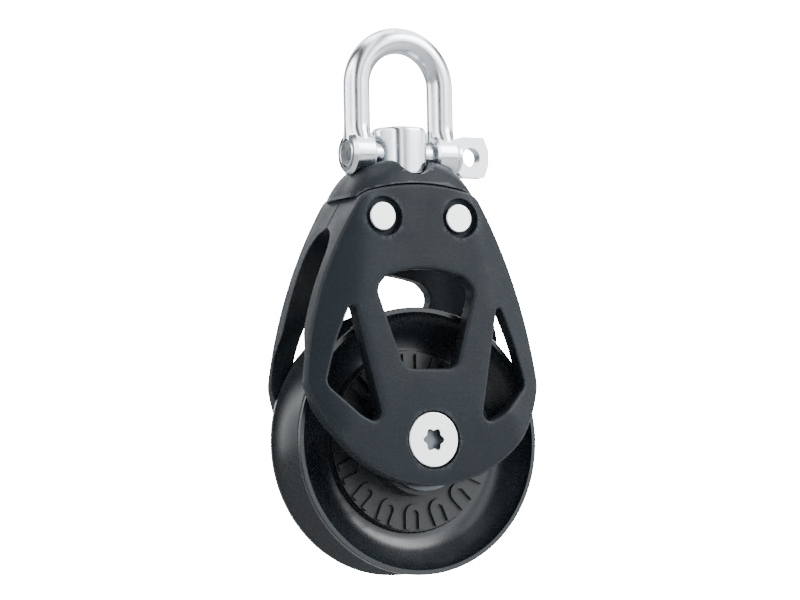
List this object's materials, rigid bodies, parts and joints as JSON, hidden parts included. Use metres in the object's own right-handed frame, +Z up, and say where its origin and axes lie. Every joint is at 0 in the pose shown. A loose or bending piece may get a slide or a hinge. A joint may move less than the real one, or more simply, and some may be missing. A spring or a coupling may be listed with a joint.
{
  "type": "single sheave block",
  "caption": "Single sheave block with two windowed side plates, a grooved dished sheave and a bow shackle with a screw pin.",
  "frame": {"origin": "hang point: inner crown of the shackle bow", "axes": "+Z up along the block, +Y along the axle, +X along the shackle pin towards its tab"},
  "size_m": [0.06, 0.0288, 0.1237],
  "materials": {
    "forged_black": "satin",
    "sheave_black": "satin",
    "retainer_black": "satin",
    "polished_steel": "polished",
    "bearing_steel": "satin",
    "bright_screw": "satin",
    "white_ball": "satin",
    "sleeve_composite": "matte"
  },
  "bodies": {
    "shackle": {"shackle_bow": "polished_steel"},
    "pin": {"shackle_pin": "polished_steel"},
    "sheave_set": {"sheave": "sheave_black", "sleeve_bushing": "sleeve_composite", "ball_retainer_front": "retainer_black", "ball_retainer_back": "retainer_black"},
    "ball_set_front": {"thrust_ball_front_01": "white_ball", "thrust_ball_front_02": "white_ball", "thrust_ball_front_03": "white_ball", "thrust_ball_front_04": "white_ball", "thrust_ball_front_05": "white_ball", "thrust_ball_front_06": "white_ball", "thrust_ball_front_07": "white_ball", "thrust_ball_front_08": "white_ball", "thrust_ball_front_09": "white_ball", "thrust_ball_front_10": "white_ball", "thrust_ball_front_11": "white_ball", "thrust_ball_front_12": "white_ball"},
    "ball_set_back": {"thrust_ball_back_01": "white_ball", "thrust_ball_back_02": "white_ball", "thrust_ball_back_03": "white_ball", "thrust_ball_back_04": "white_ball", "thrust_ball_back_05": "white_ball", "thrust_ball_back_06": "white_ball", "thrust_ball_back_07": "white_ball", "thrust_ball_back_08": "white_ball", "thrust_ball_back_09": "white_ball", "thrust_ball_back_10": "white_ball", "thrust_ball_back_11": "white_ball", "thrust_ball_back_12": "white_ball"},
    "block_frame": {"axle_screw_back": "bright_screw", "axle_screw_front": "bright_screw", "axle_tube": "bearing_steel", "back_cheek": "forged_black", "forged_head": "forged_black", "front_cheek": "forged_black", "head_post": "polished_steel", "head_rivet_left": "bright_screw", "head_rivet_right": "bright_screw", "post_nut": "polished_steel", "post_washer": "polished_steel", "thrust_race_back": "bearing_steel", "thrust_race_front": "bearing_steel"}
  },
  "joints": [
    {"name": "pin_unscrew", "type": "slide", "parent": "shackle", "child": "pin", "axis": [1, 0, 0], "range_m": [0, 0.028]},
    {"name": "shackle_hinge", "type": "hinge", "parent": "shackle", "child": "block_frame", "pos_m": [0, 0, -0.023], "axis": [1, 0, 0], "range_deg": [-75, 75]},
    {"name": "sheave_spin", "type": "hinge", "parent": "block_frame", "child": "sheave_set", "pos_m": [0, 0, -0.0878], "axis": [0, 1, 0], "continuous": true},
    {"name": "ball_roll_front", "type": "hinge", "parent": "block_frame", "child": "ball_set_front", "pos_m": [0, 0, -0.0878], "axis": [0, 1, 0], "continuous": true},
    {"name": "ball_roll_back", "type": "hinge", "parent": "block_frame", "child": "ball_set_back", "pos_m": [0, 0, -0.0878], "axis": [0, 1, 0], "continuous": true}
  ],
  "couplings": [
    {"joint": "ball_roll_front", "follows": "sheave_spin", "ratio": 0.5},
    {"joint": "ball_roll_back", "follows": "sheave_spin", "ratio": 0.5}
  ]
}
